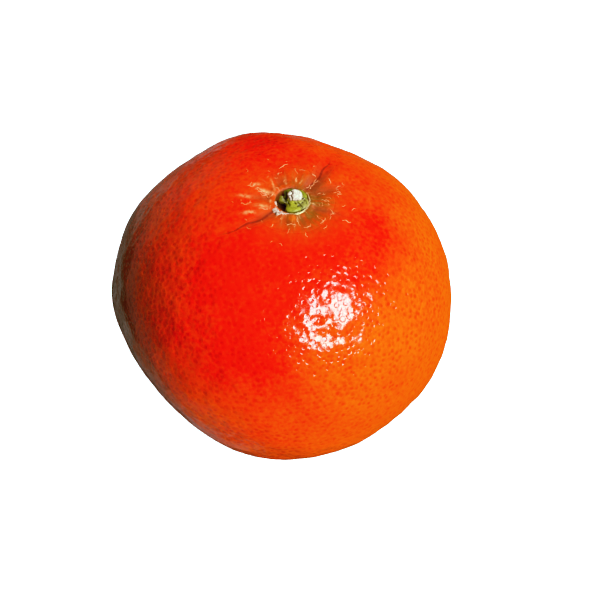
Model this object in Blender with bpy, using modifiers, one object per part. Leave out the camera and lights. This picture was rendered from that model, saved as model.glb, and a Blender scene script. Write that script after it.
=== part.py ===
"""A whole valencia orange, as picked: the fruit, its green button and the broken end of its stalk.

The fruit is worked out round its core, with +Z along the stem axis. Everything hangs from one empty,
which stands the fruit on its resting spot with the middle of its box over the origin.
"""

import math
import random

import bmesh
import bpy
import numpy as np
from mathutils import Vector

MM = 0.001

# The fruit's body: an ellipsoid, cut off below where the fruit has settled on its resting spot
HALF_WIDTH = 35.0 * MM
HALF_DEPTH = 34.6 * MM
HALF_HEIGHT = 32.2 * MM
CORE_HEIGHT = 31.4 * MM

# Broad swells and flats of the body: azimuth, latitude and spread in degrees, height in millimetres
SWELLS = (
    (214, -24, 30, -2.55),
    (59, 35, 19, -1.0),
    (110, 37, 12.5, 0.9),
    (154, 16, 14, 0.8),
    (24, 17, 10, -0.4),
    (180, 1, 9, 0.6),
    (-17, -13, 12, 0.35),
)

# The stem end: a shallow basin round the stem axis, with a low collar round the button
STEM_X = 2.15 * MM
STEM_Y = 0.2 * MM
BASIN_DEPTH = 2.0 * MM
BASIN_SPREAD = 9.0 * MM
SETTLING_ROUNDS = 12
COLLAR_RADIUS = 4.3 * MM
COLLAR_WIDTH = 0.7 * MM
COLLAR_HEIGHT = 0.25 * MM

# Puckers that run out from the button: azimuth at the button and turn to the far end in degrees,
# then length, depth and width in millimetres
PUCKERS = (
    (226, -26, 21, 1.5, 1.2),
    (49, 16, 24, 1.4, 1.1),
    (-27, 28, 18, 0.9, 1.2),
    (23, 6, 25, 0.7, 1.5),
    (172, 4, 16, 0.6, 1.5),
    (116, 0, 14, 0.4, 1.6),
    (292, 4, 13, 0.3, 1.6),
    (255, -6, 13, 0.3, 1.6),
)
PUCKER_START = 3.0 * MM
PUCKER_FULL = 5.6 * MM
PUCKER_WIDENING = 7.0 * MM

# Gland pits, larger than life, because the real ones are under 1.5 mm across
PIT_DEPTH = 0.26 * MM
PIT_SHALLOWEST = 0.6
PIT_FREE_RADIUS = 8.0 * MM
PIT_FREE_HEIGHT = 1.2 * MM
PIT_SEED = 11

# The skin's mesh: edges per side of an icosahedron, drawn towards the stem end and halved near it
SKIN_FREQUENCY = 20
SKIN_CROWDING = 0.8
FINE_RADIUS = 12.5 * MM

# The hollow that the button sits in
HOLLOW_RADIUS = 3.75 * MM
HOLLOW_FLOOR_RADIUS = 3.6 * MM
HOLLOW_DEPTH = 1.4 * MM
HOLLOW_SIDES = 48

# The stylar scar: a round dimple in the middle of the resting spot
SCAR_RADIUS = 1.6 * MM
SCAR_DEPTH = 0.6 * MM
SCAR_SLICES = 28
SCAR_RINGS = 20

# Gap between neighbouring pieces, and how far a cutter stands out of what it cuts
GAP = 0.3 * MM
CLEARANCE = 3.0 * MM

# The button: low lobes round a socket, each with its azimuth in degrees and its share of the radius
LOBES = ((-100, 1.0), (-28, 1.0), (44, 0.98), (116, 0.95), (188, 0.8))
BUTTON_RADIUS = 3.15 * MM
BUTTON_OFFSET = 0.2 * MM
BUTTON_THICKNESS = 1.6 * MM
BUTTON_SKIRT = 0.35
BUTTON_SPREAD = 0.8
BUTTON_DOMING = 0.4
BUTTON_SLICES = 50
BUTTON_RINGS = 18
NOTCH_DEPTH = 0.35 * MM
GROOVE_DEPTH = 0.4 * MM
GROOVE_START = 0.3
GROOVE_FULL = 0.7
CREVICE_DEPTH = 0.3 * MM
CREVICE_PLACE = 0.72
CREVICE_WIDTH = 0.1
SOCKET_DEPTH = 0.7 * MM

# The stalk's broken end: a blunt post with a slanting top and a zigzag crack across it
STUB_RADIUS = 1.45 * MM
STUB_X = 0.35 * MM
STUB_Y = 0.6 * MM
STUB_RISE = 1.0 * MM
STUB_SLOPE = 0.25
STUB_SQUARENESS = 0.45
STUB_WAVES = 3
STUB_WAVINESS = 0.04
STUB_SLICES = 32
STUB_RINGS = 14
CRACK_X = -0.35 * MM
CRACK_WIDTH = 0.2 * MM
CRACK_DEPTH = 0.55 * MM
CRACK_SWAY = 0.18 * MM
CRACK_STEPS = 6

# Colours as linear RGB, then roughness
PEEL_FINISH = ((0.86, 0.06, 0.004), 0.35)
BUTTON_FINISH = ((0.27, 0.29, 0.05), 0.6)
STALK_FINISH = ((0.62, 0.56, 0.42), 0.85)


def clear_scene():
    for item in list(bpy.data.objects):
        bpy.data.objects.remove(item)


def new_collection(name):
    collection = bpy.data.collections.new(name)
    bpy.context.scene.collection.children.link(collection)
    return collection


def new_material(name, finish):
    colour, roughness = finish
    material = bpy.data.materials.new(name)
    material.use_nodes = True
    shader = material.node_tree.nodes["Principled BSDF"]
    shader.inputs["Base Color"].default_value = (*colour, 1.0)
    shader.inputs["Roughness"].default_value = roughness
    shader.inputs["Metallic"].default_value = 0.0
    material.diffuse_color = (*colour, 1.0)
    return material


def object_from(bm, name, collection, core):
    """A smooth-shaded object of the mesh, placed in the fruit's own frame."""
    mesh = bpy.data.meshes.new(name)
    bm.to_mesh(mesh)
    bm.free()
    mesh.shade_smooth()
    item = bpy.data.objects.new(name, mesh)
    item.parent = core
    collection.objects.link(item)
    return item


def cut(item, cutter):
    modifier = item.modifiers.new("cut_" + cutter.name, "BOOLEAN")
    modifier.object = cutter
    modifier.operation = "DIFFERENCE"
    modifier.solver = "EXACT"
    cutter.hide_render = True
    cutter.display_type = "WIRE"


def smooth_step(value):
    """From 0 to 1 as the value goes from 0 to 1, level at both ends."""
    value = np.clip(value, 0.0, 1.0)
    return value * value * (3.0 - 2.0 * value)


def direction(azimuth, latitude):
    around, up = math.radians(azimuth), math.radians(latitude)
    return np.array([math.cos(up) * math.cos(around), math.cos(up) * math.sin(around), math.sin(up)])


def body_radius(normals):
    """Distance from the core to the plain body, without its stem end, along each unit vector."""
    radius = 1.0 / np.sqrt(
        (normals[:, 0] / HALF_WIDTH) ** 2
        + (normals[:, 1] / HALF_DEPTH) ** 2
        + (normals[:, 2] / HALF_HEIGHT) ** 2
    )
    for azimuth, latitude, spread, height in SWELLS:
        away = np.arccos(np.clip(normals @ direction(azimuth, latitude), -1.0, 1.0))
        radius += height * MM * np.exp(-((away / math.radians(spread)) ** 2))
    return radius


def pucker_depth(across, along):
    """How deep the puckers are at points given by their place round the stem axis."""
    from_stem = np.hypot(across, along)
    depth = np.zeros_like(from_stem)
    for azimuth, turn, length, deepest, width in PUCKERS:
        reach = length * MM
        heading = np.radians(azimuth + turn * from_stem / reach)
        forward = across * np.cos(heading) + along * np.sin(heading)
        aside = along * np.cos(heading) - across * np.sin(heading)
        rise = smooth_step((from_stem - PUCKER_START) / (PUCKER_FULL - PUCKER_START))
        fade = 1.0 - smooth_step((from_stem - PUCKER_FULL) / (reach - PUCKER_FULL))
        half_width = 0.5 * width * MM * (1.0 + from_stem / PUCKER_WIDENING)
        valley = np.exp(-((aside / half_width) ** 2))
        depth += np.where(forward > 0.0, deepest * MM * rise * fade * valley, 0.0)
    return depth


def skin_radius(normals):
    """Distance from the core to the skin along each unit vector, pits apart."""
    radius = body_radius(normals)
    across = normals[:, 0] * radius - STEM_X
    along = normals[:, 1] * radius - STEM_Y
    from_stem = np.hypot(across, along)
    basin = BASIN_DEPTH * np.exp(-((from_stem / BASIN_SPREAD) ** 2))
    collar = COLLAR_HEIGHT * np.exp(-(((from_stem - COLLAR_RADIUS) / COLLAR_WIDTH) ** 2))
    relief = collar - basin - pucker_depth(across, along)
    return radius + np.where(normals[:, 2] > 0.0, relief, 0.0)


def stem_height():
    """Height above the core of the skin's surface on the stem axis, settled in a few rounds."""
    height = HALF_HEIGHT
    for _ in range(SETTLING_ROUNDS):
        normal = Vector((STEM_X, STEM_Y, height)).normalized()
        radius = skin_radius(np.array([normal]))[0]
        height = math.sqrt(radius**2 - STEM_X**2 - STEM_Y**2)
    return height


def crowd_towards_stem(point):
    """Moves a point of the unit sphere towards +Z, and keeps the triangles there well shaped."""
    around = math.atan2(point.y, point.x)
    from_top = math.atan2(math.hypot(point.x, point.y), point.z)
    crowded = 2.0 * math.atan(SKIN_CROWDING * math.tan(from_top / 2.0))
    level = math.sin(crowded)
    return Vector((level * math.cos(around), level * math.sin(around), math.cos(crowded)))


def is_near_stem(point):
    """Whether a point of the unit sphere falls within the finer part of the skin's mesh."""
    away = math.hypot(point.x * HALF_WIDTH - STEM_X, point.y * HALF_DEPTH - STEM_Y)
    return point.z > 0.0 and away < FINE_RADIUS


def even_sphere():
    """A unit sphere of nearly equal triangles, finer round the stem."""
    bm = bmesh.new()
    bmesh.ops.create_icosphere(bm, subdivisions=1, radius=1.0)
    cuts = SKIN_FREQUENCY - 1
    bmesh.ops.subdivide_edges(bm, edges=bm.edges[:], cuts=cuts, use_grid_fill=True)
    for vertex in bm.verts:
        vertex.co = crowd_towards_stem(vertex.co.normalized())
    near = [edge for edge in bm.edges if all(is_near_stem(end.co) for end in edge.verts)]
    bmesh.ops.subdivide_edges(bm, edges=near, cuts=1, use_grid_fill=True, use_single_edge=True)
    bmesh.ops.triangulate(bm, faces=[face for face in bm.faces if len(face.verts) > 3])
    for vertex in bm.verts:
        vertex.co.normalize()
    return bm


def press_pits(bm):
    """Presses in vertices picked at random, with no two of them neighbours."""
    rng = random.Random(PIT_SEED)
    vertices = list(bm.verts)
    rng.shuffle(vertices)
    near_a_pit = set()
    for vertex in vertices:
        from_stem = math.hypot(vertex.co.x - STEM_X, vertex.co.y - STEM_Y)
        in_stem_end = vertex.co.z > 0.0 and from_stem < PIT_FREE_RADIUS
        by_resting_spot = vertex.co.z < PIT_FREE_HEIGHT - CORE_HEIGHT
        if in_stem_end or by_resting_spot or vertex in near_a_pit:
            continue
        near_a_pit.update(edge.other_vert(vertex) for edge in vertex.link_edges)
        depth = PIT_DEPTH * rng.uniform(PIT_SHALLOWEST, 1.0)
        vertex.co -= vertex.co.normalized() * depth


def flatten_underside(bm):
    """Cuts the body off level on its resting spot and closes it there."""
    section = bmesh.ops.bisect_plane(
        bm,
        geom=bm.verts[:] + bm.edges[:] + bm.faces[:],
        plane_co=(0.0, 0.0, -CORE_HEIGHT),
        plane_no=(0.0, 0.0, -1.0),
        clear_outer=True,
    )
    rim = [item for item in section["geom_cut"] if isinstance(item, bmesh.types.BMEdge)]
    bmesh.ops.edgeloop_fill(bm, edges=rim)
    bmesh.ops.recalc_face_normals(bm, faces=bm.faces[:])


def make_fruit(collection, core, material):
    bm = even_sphere()
    normals = np.array([vertex.co for vertex in bm.verts])
    for vertex, radius in zip(bm.verts, skin_radius(normals)):
        vertex.co *= radius
    press_pits(bm)
    flatten_underside(bm)
    fruit = object_from(bm, "fruit", collection, core)
    fruit.data.materials.append(material)
    return fruit


def make_hollow_cutter(collection, core, rim_height):
    """A slightly tapered plug, as deep as the hollow."""
    taper = (HOLLOW_RADIUS - HOLLOW_FLOOR_RADIUS) / HOLLOW_DEPTH
    bm = bmesh.new()
    bmesh.ops.create_cone(
        bm,
        cap_ends=True,
        segments=HOLLOW_SIDES,
        radius1=HOLLOW_FLOOR_RADIUS,
        radius2=HOLLOW_RADIUS + taper * CLEARANCE,
        depth=HOLLOW_DEPTH + CLEARANCE,
    )
    middle = rim_height + (CLEARANCE - HOLLOW_DEPTH) / 2.0
    bmesh.ops.translate(bm, verts=bm.verts[:], vec=(STEM_X, STEM_Y, middle))
    return object_from(bm, "hollow_cutter", collection, core)


def make_scar_cutter(collection, core):
    """A ball that leaves a shallow dimple in the resting spot."""
    radius = (SCAR_RADIUS**2 + SCAR_DEPTH**2) / (2.0 * SCAR_DEPTH)
    bm = bmesh.new()
    bmesh.ops.create_uvsphere(bm, u_segments=SCAR_SLICES, v_segments=SCAR_RINGS, radius=radius)
    bmesh.ops.translate(bm, verts=bm.verts[:], vec=(0.0, 0.0, SCAR_DEPTH - radius - CORE_HEIGHT))
    return object_from(bm, "scar_cutter", collection, core)


def lobe_at(around):
    """How near an azimuth is to a lobe's middle, from 0 in a notch to 1, and the lobe's share there."""
    nearest, share_there = 0.0, 1.0
    half_lobe = math.pi / len(LOBES)
    for azimuth, share in LOBES:
        away = abs(math.remainder(around - math.radians(azimuth), 2.0 * math.pi))
        nearness = math.cos(min(away / half_lobe, 1.0) * math.pi / 2.0)
        if nearness > nearest:
            nearest, share_there = nearness, share
    return nearest, 1.0 - (1.0 - share_there) * nearest


def shape_button(unit):
    """Carries a point of the unit sphere to the button, whose underside is at height 0."""
    around = math.atan2(unit.y, unit.x)
    nearness, share = lobe_at(around)
    notch = (1.0 - nearness) ** 2
    out = min(1.0, math.hypot(unit.x, unit.y)) ** BUTTON_SPREAD
    reach = out * (BUTTON_RADIUS * share - NOTCH_DEPTH * notch)
    skirt = BUTTON_SKIRT * BUTTON_THICKNESS
    if unit.z <= 0.0:
        height = skirt * math.sqrt(1.0 + unit.z)
    else:
        groove = GROOVE_DEPTH * notch * smooth_step((out - GROOVE_START) / (GROOVE_FULL - GROOVE_START))
        crevice = CREVICE_DEPTH * math.exp(-(((out - CREVICE_PLACE) / CREVICE_WIDTH) ** 2))
        dome = (BUTTON_THICKNESS - skirt - groove) * unit.z**BUTTON_DOMING
        height = skirt + dome - crevice * unit.z
    return Vector((reach * math.cos(around), reach * math.sin(around), height))


def make_button(collection, core, material, base):
    bm = bmesh.new()
    bmesh.ops.create_uvsphere(bm, u_segments=BUTTON_SLICES, v_segments=BUTTON_RINGS, radius=1.0)
    for vertex in bm.verts:
        vertex.co = shape_button(vertex.co) + base
    button = object_from(bm, "calyx", collection, core)
    button.data.materials.append(material)
    return button


def make_socket_cutter(collection, core, rim):
    """A round plug that seats the stalk's end in the button."""
    bm = bmesh.new()
    bmesh.ops.create_cone(
        bm,
        cap_ends=True,
        segments=STUB_SLICES,
        radius1=STUB_RADIUS + GAP,
        radius2=STUB_RADIUS + GAP,
        depth=SOCKET_DEPTH + CLEARANCE,
    )
    lift = Vector((0.0, 0.0, (CLEARANCE - SOCKET_DEPTH) / 2.0))
    bmesh.ops.translate(bm, verts=bm.verts[:], vec=rim + lift)
    return object_from(bm, "socket_cutter", collection, core)


def square_off(value):
    """Swells a coordinate of the unit sphere towards a cylinder's."""
    return math.copysign(abs(value) ** STUB_SQUARENESS, value)


def shape_stub(unit, height):
    """Carries a point of the unit sphere to the blunt post, whose underside is at height 0."""
    around = math.atan2(unit.y, unit.x)
    out = square_off(min(1.0, math.hypot(unit.x, unit.y)))
    waviness = STUB_WAVINESS * (1.0 - math.cos(STUB_WAVES * around))
    reach = STUB_RADIUS * out * (1.0 - waviness)
    x, y = reach * math.cos(around), reach * math.sin(around)
    slope = STUB_SLOPE * (x + STUB_RADIUS) * max(unit.z, 0.0)
    return Vector((x, y, height * (1.0 + square_off(unit.z)) / 2.0 - slope))


def make_stub(collection, core, material, base, height):
    bm = bmesh.new()
    bmesh.ops.create_uvsphere(bm, u_segments=STUB_SLICES, v_segments=STUB_RINGS, radius=1.0)
    for vertex in bm.verts:
        vertex.co = shape_stub(vertex.co, height) + base
    stub = object_from(bm, "stem_stub", collection, core)
    stub.data.materials.append(material)
    return stub


def make_crack_cutter(collection, core, base, height):
    """A thin upright zigzag sheet that splits the top of the stalk's end."""
    bm = bmesh.new()
    half_span = STUB_RADIUS + GAP
    lowest = height - CRACK_DEPTH - STUB_SLOPE * STUB_RADIUS
    line = []
    for step in range(CRACK_STEPS + 1):
        sway = CRACK_SWAY * (1 if step % 2 else -1)
        along = half_span * (2.0 * step / CRACK_STEPS - 1.0)
        line.append(bm.verts.new(base + Vector((CRACK_X + sway, along, lowest))))
    edges = [bm.edges.new(ends) for ends in zip(line, line[1:])]
    raised = bmesh.ops.extrude_edge_only(bm, edges=edges)["geom"]
    upper = [item for item in raised if isinstance(item, bmesh.types.BMVert)]
    bmesh.ops.translate(bm, verts=upper, vec=(0.0, 0.0, CLEARANCE))
    cutter = object_from(bm, "crack_cutter", collection, core)
    sheet = cutter.modifiers.new("thickness", "SOLIDIFY")
    sheet.thickness = CRACK_WIDTH
    sheet.offset = 0.0
    return cutter


def stand_on_origin(core, fruit):
    """Puts the middle of the fruit's box over the origin and its resting spot at height 0."""
    points = np.array([vertex.co for vertex in fruit.data.vertices])
    middle = (points.min(axis=0) + points.max(axis=0)) / 2.0
    core.location = (-middle[0], -middle[1], CORE_HEIGHT)


def main():
    clear_scene()
    parts = new_collection("valencia_orange")
    cutters = new_collection("cutters")
    core = bpy.data.objects.new("fruit_core", None)
    parts.objects.link(core)

    fruit = make_fruit(parts, core, new_material("peel", PEEL_FINISH))
    rim_height = stem_height()
    cut(fruit, make_hollow_cutter(cutters, core, rim_height))
    cut(fruit, make_scar_cutter(cutters, core))

    floor_height = rim_height - HOLLOW_DEPTH
    button_base = Vector((STEM_X + BUTTON_OFFSET, STEM_Y + BUTTON_OFFSET, floor_height + GAP))
    button = make_button(parts, core, new_material("button", BUTTON_FINISH), button_base)

    socket_rim = button_base + Vector((STUB_X, STUB_Y, BUTTON_THICKNESS))
    cut(button, make_socket_cutter(cutters, core, socket_rim))

    stub_base = socket_rim - Vector((0.0, 0.0, SOCKET_DEPTH - GAP))
    stub_height = SOCKET_DEPTH - GAP + STUB_RISE
    stub = make_stub(parts, core, new_material("stalk_end", STALK_FINISH), stub_base, stub_height)
    cut(stub, make_crack_cutter(cutters, core, stub_base, stub_height))
    stand_on_origin(core, fruit)


main()
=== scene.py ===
"""The valencia orange's looks: a finely pitted peel, its button, stalk end and cork marks, in soft light.

Lengths are in metres. Shapes are worked out round the fruit's core, with +Z along the stem axis, and then
set where the frame holds them.
"""

import math
import random

import bmesh
import bpy
import numpy as np
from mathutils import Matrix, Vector, bvhtree, kdtree, noise

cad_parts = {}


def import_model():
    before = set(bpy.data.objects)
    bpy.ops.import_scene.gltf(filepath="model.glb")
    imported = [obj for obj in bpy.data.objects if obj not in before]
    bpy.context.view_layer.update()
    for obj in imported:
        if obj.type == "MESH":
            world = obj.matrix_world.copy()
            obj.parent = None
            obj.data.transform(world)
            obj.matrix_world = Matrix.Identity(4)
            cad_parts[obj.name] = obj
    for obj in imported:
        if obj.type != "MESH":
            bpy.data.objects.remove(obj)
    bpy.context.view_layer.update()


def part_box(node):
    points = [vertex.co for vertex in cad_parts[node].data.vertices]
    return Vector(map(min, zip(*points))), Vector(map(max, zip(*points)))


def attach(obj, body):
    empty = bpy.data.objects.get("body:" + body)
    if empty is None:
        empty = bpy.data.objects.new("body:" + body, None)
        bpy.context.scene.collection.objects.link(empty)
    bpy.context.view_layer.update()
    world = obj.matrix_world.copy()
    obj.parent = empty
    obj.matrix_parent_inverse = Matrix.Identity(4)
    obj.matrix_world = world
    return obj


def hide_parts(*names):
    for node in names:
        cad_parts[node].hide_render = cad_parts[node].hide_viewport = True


MM = 0.001

# The fruit's body: the part's ellipsoid, cut off below at the same height
HALF_WIDTH = 35.0 * MM
HALF_DEPTH = 34.6 * MM
HALF_HEIGHT = 32.2 * MM
CORE_HEIGHT = 31.4 * MM

# Broad swells and flats of the body, a few more than the part's: azimuth, latitude and spread in degrees,
# height in millimetres
SWELLS = (
    (214, -24, 30, -2.55),
    (59, 35, 19, -1.0),
    (110, 37, 12.5, 0.9),
    (154, 16, 14, 0.8),
    (24, 17, 10, -0.4),
    (180, 1, 9, 0.6),
    (-21, -15, 13, 0.6),
    (-90, -38, 26, 0.25),
    (196, 24, 10, 0.4),
    (223, 20, 10, 0.3),
    (233, 2, 9, 0.3),
)

# The stem end: a shallow basin with a low collar, and the hollow that the button sits in
STEM_X = 2.15 * MM
STEM_Y = 0.2 * MM
BASIN_DEPTH = 2.0 * MM
BASIN_SPREAD = 9.0 * MM
COLLAR_RADIUS = 4.3 * MM
COLLAR_WIDTH = 0.7 * MM
COLLAR_HEIGHT = 0.25 * MM
HOLLOW_RADIUS = 3.55 * MM
HOLLOW_WALL = 0.35 * MM
HOLLOW_DEPTH = 1.4 * MM

# Puckers that run out from the button: azimuth at the button and turn to the far end in degrees,
# then length, depth and width in millimetres, and how dark a line of painted shade runs along its floor
PUCKERS = (
    (228, -28, 25, 0.55, 1.3, 1.0),
    (42, 32, 28, 1.0, 1.5, 1.0),
    (-24, 12, 18, 0.5, 1.2, 0.45),
    (23, 6, 25, 0.5, 1.5, 0.1),
    (172, 4, 16, 0.4, 1.5, 0.1),
    (116, 0, 14, 0.4, 1.6, 0.0),
    (292, 4, 13, 0.3, 1.6, 0.0),
    (255, -6, 13, 0.3, 1.6, 0.0),
)
PUCKER_START = 3.0 * MM
PUCKER_FULL = 5.6 * MM
PUCKER_WIDENING = 7.0 * MM

# The painted shade line along a pucker's floor: its width, how far and how tightly it sways, and where it
# fades
CREASE_WIDTH = 0.29 * MM
CREASE_SWAY = 0.22 * MM
CREASE_CURL = 0.9 * MM
CREASE_FADE = (9.5 * MM, 22.0 * MM)

# Fine ridges that run out from the button, and a small blister in front of it
RIDGE_HEIGHT = 0.16 * MM
RIDGE_TURNS = 4.5
RIDGE_STRETCH = 9.0 * MM
BLISTER = (0.05 * MM, -5.0 * MM)
BLISTER_RADIUS = 1.0 * MM
BLISTER_HEIGHT = 0.3 * MM

# The dull green tinge round the button: how far it reaches, where it is strongest, and its least share
OLIVE_REACH = 11.0 * MM
OLIVE_AZIMUTH = -12.0
OLIVE_LEAST = 0.35

# Soft pale patches left of the button and behind it: place from the stem axis, half-length and half-width
# in millimetres, turn in degrees
PALE_PATCHES = (
    (-5.2, 2.2, 1.7, 0.4, -20),
    (-7.3, 3.9, 0.9, 0.35, 10),
    (-6.1, -1.9, 1.2, 0.38, -3),
    (-4.4, -0.5, 0.4, 0.5, 0),
    (-3.8, 4.0, 1.4, 0.2, 105),
    (-1.2, 5.0, 1.1, 0.25, 100),
    (0.95, 5.5, 0.8, 0.2, 88),
    (-9.0, 0.8, 1.6, 0.4, -8),
    (-8.6, -3.6, 1.2, 0.35, 5),
)

# Small dents and rises where the key light shines: azimuth and latitude in degrees, width and depth
# in millimetres
DENTS = (
    (-73.9, 37.1, 1.5, 0.42),
    (-69.0, 36.4, 1.5, 0.38),
    (-80.0, 38.0, 1.0, 0.12),
    (-73.2, 42.6, 1.5, 0.38),
    (-60.6, 34.6, 1.7, 0.15),
    (-66.8, 51.5, 1.7, -0.13),
    (-81.9, 43.3, 1.4, -0.14),
    (-67.5, 42.8, 0.9, 0.07),
    (-75.6, 33.9, 0.75, 0.1),
    (-65.1, 40.3, 1.4, -0.08),
    (-61.6, 45.1, 3.5, -0.08),
    (-58.4, 39.7, 2.2, -0.10),
    (-79.2, 49.6, 2.4, -0.20),
)

# The stylar scar in the resting spot
SCAR_RADIUS = 1.6 * MM
SCAR_DEPTH = 0.6 * MM

# The peel's fine mesh, drawn towards the stem end
SKIN_FREQUENCY = 96
SKIN_CROWDING = 0.6

# Gland pits: their rows as edges per side of an icosahedron, their scatter, size and depth
GLAND_FREQUENCY = 29
GLAND_SCATTER = 0.42 * MM
GLAND_SMALL = 0.52 * MM
GLAND_LARGE = 0.76 * MM
GLAND_DEPTH = 0.03 * MM
GLAND_FAINTEST = 0.5
GLAND_SEED = 7
GLANDS_TRIED = 3

# Low waves of the skin between the pits: wavelength, then height, and how much lower they are on the left
WAVES = ((1.4 * MM, 0.045 * MM), (2.2 * MM, 0.105 * MM), (4.4 * MM, 0.15 * MM), (9.0 * MM, 0.18 * MM))
LEFT_CALM = 0.35

# Where pits grow deeper, and where ridges rise and fade: distance from the stem axis, then over how much
PITS_GROW = (5.0 * MM, 9.0 * MM)
RIDGE_START = (3.8 * MM, 1.2 * MM)
RIDGE_FADE = (6.0 * MM, 8.0 * MM)

# The button's five lobes: azimuth, half-width in degrees, share of the full radius, and colour
LOBES = (
    (-88, 40, 0.99, (0.20, 0.155, 0.012)),
    (-24, 34, 1.04, (0.20, 0.145, 0.045)),
    (42, 36, 1.0, (0.095, 0.10, 0.006)),
    (106, 32, 0.95, (0.09, 0.08, 0.008)),
    (170, 19, 0.86, (0.14, 0.105, 0.014)),
)
BUTTON_RADIUS = 3.15 * MM
BUTTON_OFFSET = 0.2 * MM
BUTTON_THICKNESS = 1.6 * MM
BUTTON_SKIRT = 0.35
BUTTON_SPREAD = 0.8
BUTTON_DOMING = 0.4
BUTTON_SLICES = 200
BUTTON_RINGS = 100
NOTCH_DEPTH = 0.35 * MM
GROOVE_DEPTH = 0.22 * MM
GROOVE_START = 0.3
GROOVE_FULL = 0.7
CREVICE_DEPTH = 0.1 * MM
CREVICE_PLACE = 0.72
CREVICE_WIDTH = 0.08
BUTTON_WRINKLE = 0.05 * MM
BUTTON_WRINKLE_SIZE = 0.5 * MM

# Gaps on the button's left, where lobes have shrunk away: azimuth, half-width in degrees and depth
GAPS = ((-147, 24, 1.15 * MM), (141, 12, 0.7 * MM))

# A pit beside the stalk's end, its dark colour painted shade: place from the button's middle, reach each
# way and depth
PIT_PLACE = (-1.45 * MM, 0.9 * MM)
PIT_REACH = (0.45 * MM, 1.35 * MM)
PIT_DEPTH = 0.9 * MM

# Cracks in the button, in millimetres from its middle
BUTTON_CRACKS = (
    ((1.0, -0.85), (1.45, -1.35), (1.9, -1.95)),
    ((2.0, -0.8), (1.45, -1.35), (0.95, -1.8)),
    ((2.1, -0.1), (2.7, -0.5), (2.75, -1.1)),
    ((-0.9, -0.9), (-0.6, -1.4), (-0.6, -1.8)),
    ((0.4, -1.0), (0.7, -1.3)),
    ((-0.5, -0.35), (0.6, -0.3), (1.6, -0.1), (2.2, 0.4)),
)
BUTTON_CRACK_DEPTH = 0.25 * MM
BUTTON_CRACK_WIDTH = 0.13 * MM

# Pale fibres on the button round the pit and below the stalk's end, in millimetres from the stem axis
FIBRES = (
    ((-1.72, 1.7), (-1.8, 0.9), (-1.65, 0.1), (-1.2, -0.4), (-0.7, -0.35)),
    ((-1.45, 0.9), (-1.4, 0.3), (-1.0, -0.1)),
    ((-0.2, 0.15), (0.7, 0.1), (1.7, 0.3), (2.3, 0.8)),
    ((2.6, 0.6), (2.2, -0.1)),
)
FIBRE_RADIUS = 0.06 * MM

# The broken stalk's end and the zigzag crack across it, in millimetres from its middle
STUB_SQUARENESS = 0.45
STUB_SLOPE = 0.25
STUB_SLICES = 150
STUB_RINGS = 70
STUB_CRACKS = (
    ((-0.95, 1.4), (-0.75, 1.0), (-0.4, 0.4), (-0.75, -0.2), (-0.5, -0.9), (-0.4, -1.5)),
    ((-0.75, -0.2), (-1.1, -0.35), (-1.5, -0.2)),
)
STUB_WIDENING = 1.07
STUB_FRONT = 0.72
STUB_FRONT_BEND = 0.1
STUB_LEFT_DROP = 0.12 * MM
STUB_GRAIN = 0.35 * MM
STUB_CRACK_DEPTH = 0.5 * MM
STUB_CRACK_WIDTH = 0.085 * MM
STUB_ROUGHNESS = 0.06 * MM

# Pale cork marks round the stem end, each a line of points in millimetres from the stem axis
MARKS = (
    ((-2.8, 6.7), (-2.0, 7.6)),
    ((-2.5, 8.3), (-1.6, 9.2), (-0.8, 9.7)),
    ((0.8, 6.1), (1.0, 4.8)),
    ((0.5, 8.5), (1.2, 7.0)),
    ((1.5, 8.0), (2.8, 7.9)),
    ((4.2, 7.6), (4.7, 6.9)),
    ((3.4, 3.6), (4.3, 5.0), (4.9, 6.6)),
    ((3.0, 3.9), (3.7, 4.9)),
    ((7.2, 6.5), (7.8, 5.5), (7.7, 5.0)),
    ((8.8, 4.3), (9.7, 4.7)),
    ((8.9, 3.4), (9.6, 2.9), (9.2, 2.3)),
    ((7.6, -1.8), (8.4, -2.9)),
    ((7.5, -3.0), (8.5, -2.6)),
    ((5.6, -5.6), (6.3, -5.1), (6.7, -4.1)),
    ((5.8, -4.5), (6.3, -5.1)),
    ((10.0, -4.2), (11.7, -4.4)),
    ((-1.2, -5.9), (-0.2, -6.3), (0.9, -6.2)),
    ((1.0, -4.1), (1.3, -5.8), (1.8, -6.4)),
    ((2.4, -6.8), (3.8, -6.5)),
    ((2.6, -8.1), (3.2, -9.2)),
    ((-4.1, -6.9), (-3.4, -6.4)),
    ((-4.4, 1.0), (-3.4, 1.5)),
    ((-7.3, 2.6), (-5.6, 2.0), (-4.3, 1.2)),
    ((-6.8, 2.2), (-5.3, 1.7), (-4.7, 2.0)),
    ((-6.2, 1.6), (-4.9, 1.2), (-4.2, 0.6)),
    ((-7.0, 3.0), (-6.0, 2.6)),
    ((-3.4, 3.6), (-2.6, 2.9)),
    ((-10.0, -1.2), (-8.4, -1.5)),
    ((-6.5, -2.5), (-4.6, -2.5)),
    ((-8.7, 3.3), (-6.9, 3.5)),
    ((5.8, 0.3), (6.5, 0.2)),
)
MARK_RADIUS = 0.065 * MM
MARK_STEP = 0.14 * MM
MARK_SWAY = 0.2 * MM
MARK_CURL = 1.3 * MM
MARK_SIDES = 6
MARK_SEED = 23
SLIGHT_SWAY = 0.3 * MARK_SWAY

# Small spare marks: how many, their radius, and in millimetres their distance from the stem axis and length
SPARE_MARKS = 45
SPARE_RADIUS = 0.7 * MARK_RADIUS
SPARE_REACH = (4.6, 12.0)
SPARE_LENGTH = (0.4, 1.3)

# How far above the stem end a line starts that is dropped to find the skin
DROP_HEIGHT = 20.0 * MM

# Pale rims round the hollow: distance in millimetres, first and last azimuth, thickness in millimetres
RIM_LINES = (
    (3.55, -96, 38, 0.11),
    (3.3, -80, 15, 0.09),
    (3.75, -60, 5, 0.06),
    (3.7, -82, -45, 0.2),
    (3.45, -78, -50, 0.16),
)
RIM_STEP = 12.0
RIM_WOBBLE = 0.08

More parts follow.
